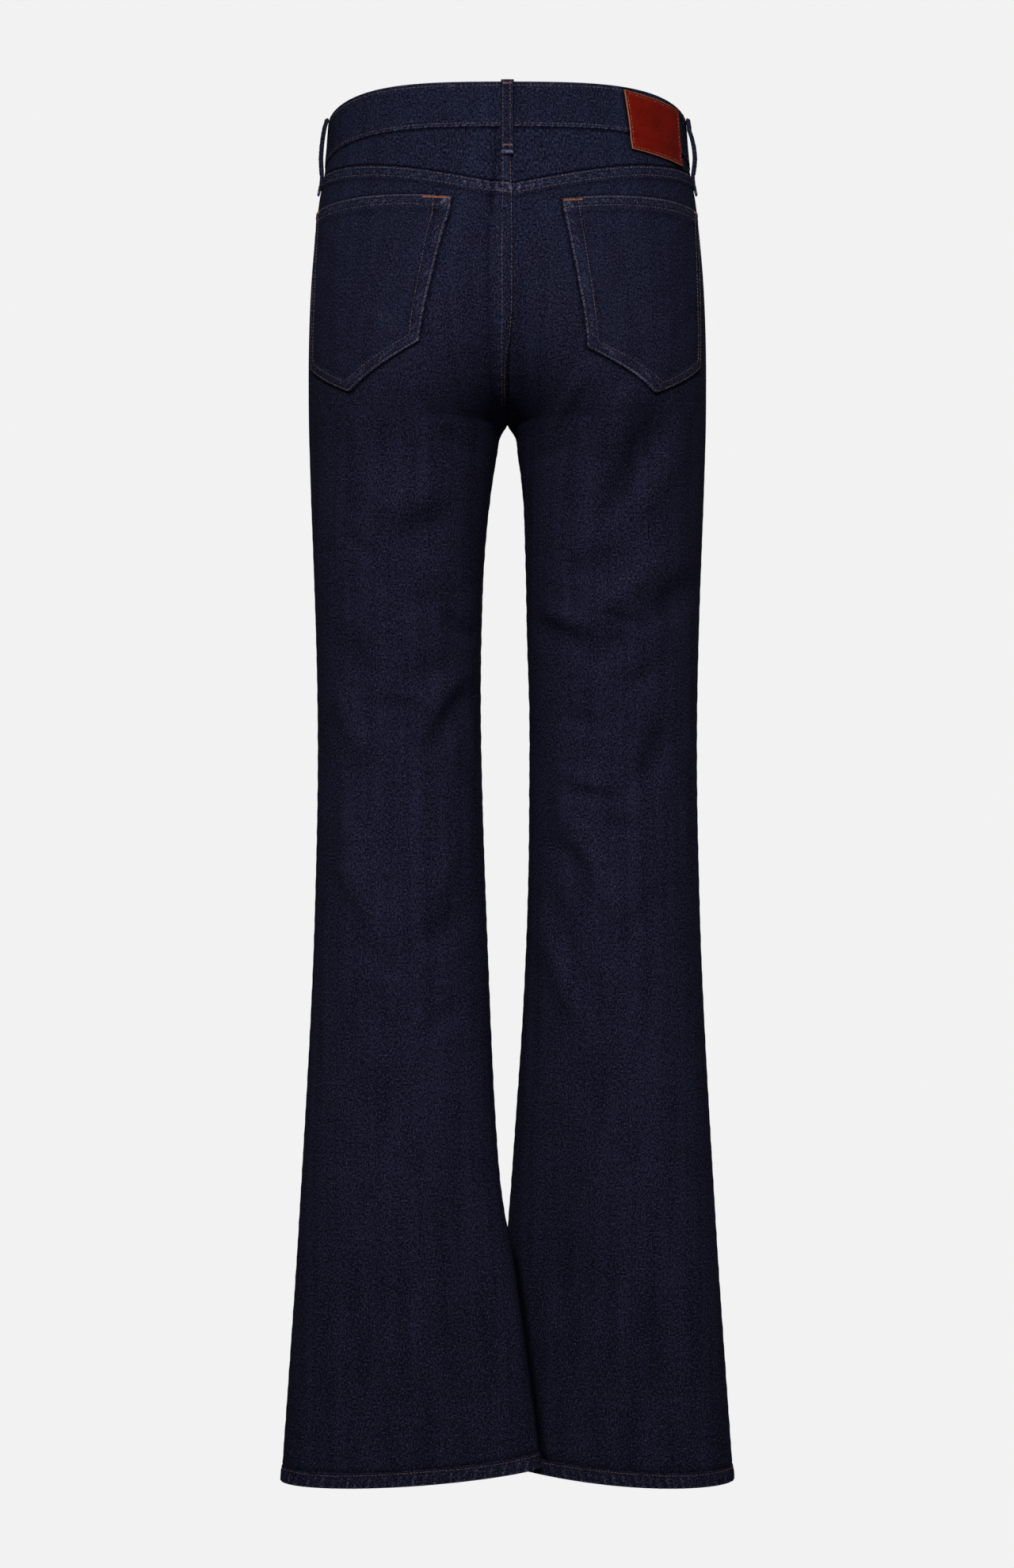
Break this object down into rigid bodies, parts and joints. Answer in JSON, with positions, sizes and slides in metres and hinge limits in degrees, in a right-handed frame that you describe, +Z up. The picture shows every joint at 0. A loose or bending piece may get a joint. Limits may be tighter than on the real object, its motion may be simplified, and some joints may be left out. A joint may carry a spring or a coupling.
{
  "type": "bootcut jeans",
  "caption": "Hollow, filled-out bootcut denim jeans with a dipped waistband, back yoke, patch pockets, scooped front pockets, belt loops, a blank leather patch and turned hems.",
  "frame": {"origin": "middle of the waist opening, where the wearer's waist holds the jeans up, at mid height of the waistband's sides", "axes": "+Z up towards the waist, +X the wearer's left, +Y the wearer's back"},
  "size_m": [0.3665, 0.236, 1.1157],
  "materials": {
    "denim": "dark indigo stretch denim, right-hand twill with fine lighter specks, matt",
    "denim_facing": "the same dark indigo denim, unworn, behind the front pocket openings",
    "topstitch": "dull rust and copper polyester thread",
    "patch_leather": "red-brown waxed leather with a raw tan edge",
    "button_brass": "aged copper-coloured metal, softly polished"
  },
  "bodies": {
    "root": {"waistband": "denim", "yoke_left": "denim", "yoke_right": "denim", "back_panel_left": "denim", "back_panel_right": "denim", "front_panel_left": "denim", "front_panel_right": "denim", "front_pocket_facing_left": "denim_facing", "front_pocket_facing_right": "denim_facing", "hem_left": "denim", "hem_right": "denim", "back_pocket_left": "denim", "back_pocket_right": "denim", "leather_patch": "patch_leather", "belt_loop_centre_back": "denim", "belt_loop_side_left": "denim", "belt_loop_side_right": "denim", "belt_loop_front_left": "denim", "belt_loop_front_right": "denim", "waist_button": "button_brass"}
  },
  "joints": []
}
